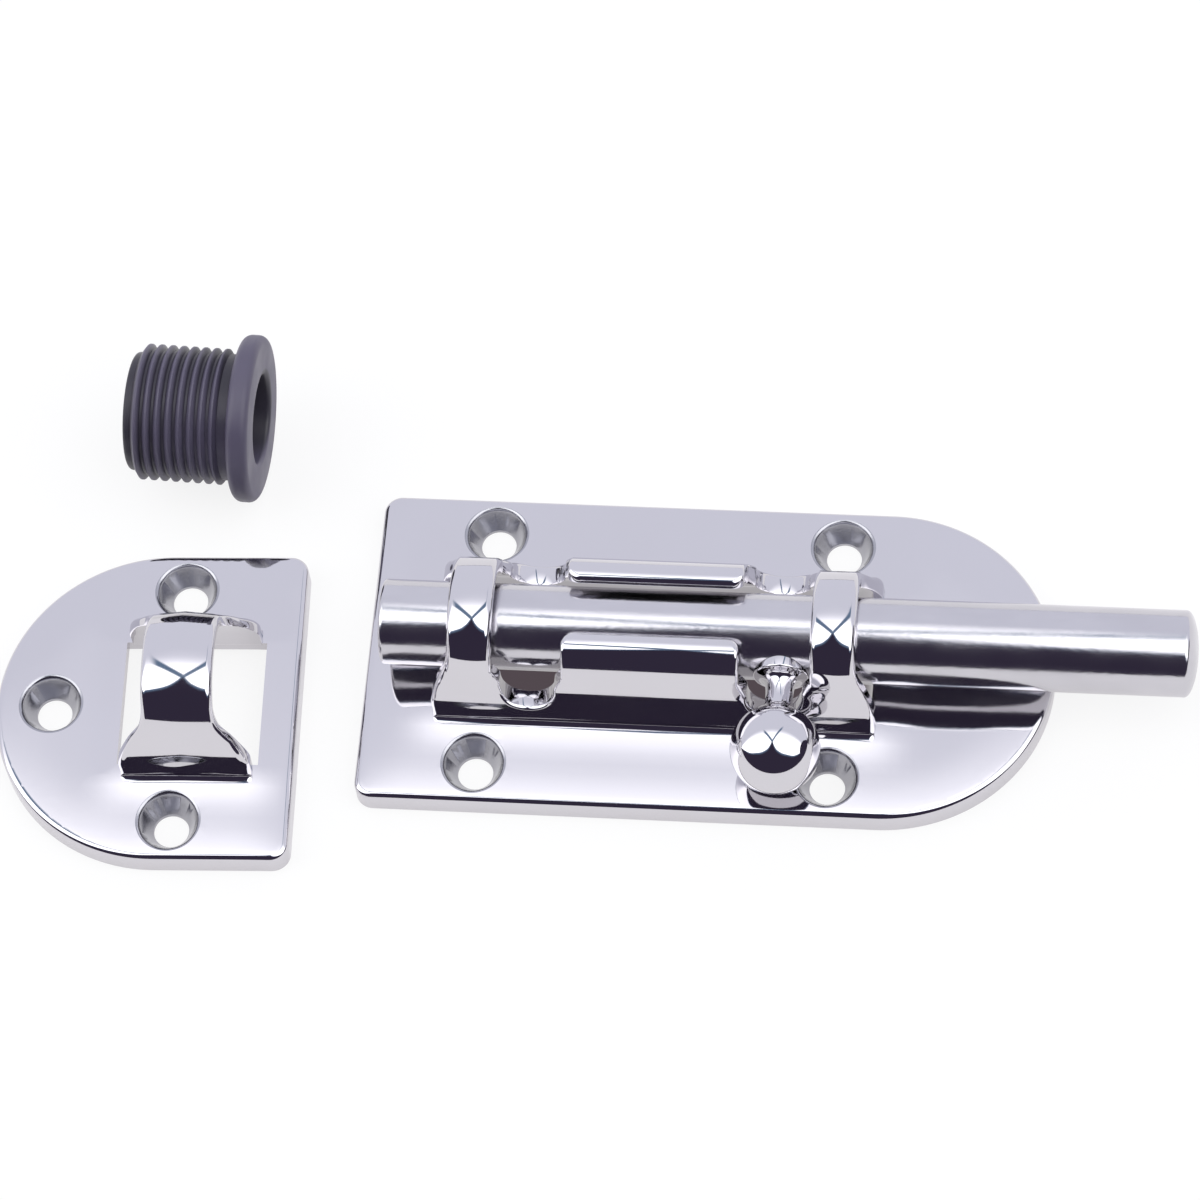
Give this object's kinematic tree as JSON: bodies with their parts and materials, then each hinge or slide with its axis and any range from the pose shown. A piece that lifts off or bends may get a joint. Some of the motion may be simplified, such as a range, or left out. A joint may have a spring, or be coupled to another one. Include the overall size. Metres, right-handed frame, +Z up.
{
  "type": "barrel bolt with keeper and guide bush",
  "caption": "Surface-mounted barrel bolt: a round bolt with a ball knob slides in a drawn housing, with its matching keeper and a ribbed guide bush laid beside it.",
  "frame": {"origin": "middle of the layout's footprint, on the surface that the pieces lie on", "axes": "+X along the bolt towards its tip, +Y away from the knob's side at rest, +Z up from the mounting surface"},
  "size_m": [0.1324, 0.0612, 0.0188],
  "materials": {
    "polished_chrome": "bright polished plate, mirror-like",
    "satin_chrome": "plated bar with fine turning marks along its sheen",
    "dark_plastic": "moulded, satin, near black with a violet cast"
  },
  "bodies": {
    "base": {"base_plate": "polished_chrome", "keeper_plate": "polished_chrome", "guide_bush": "dark_plastic"},
    "bolt": {"bolt_rod": "satin_chrome"},
    "handle": {"knob": "polished_chrome"}
  },
  "joints": [
    {"name": "bolt_slide", "type": "slide", "parent": "base", "child": "bolt", "axis": [1, 0, 0], "range_m": [-0.0015, 0.0005]},
    {"name": "knob_turn", "type": "hinge", "parent": "bolt", "child": "handle", "pos_m": [0.0211, -0.00315, 0.0085], "axis": [-1, 0, 0], "range_deg": [0, 180]}
  ]
}
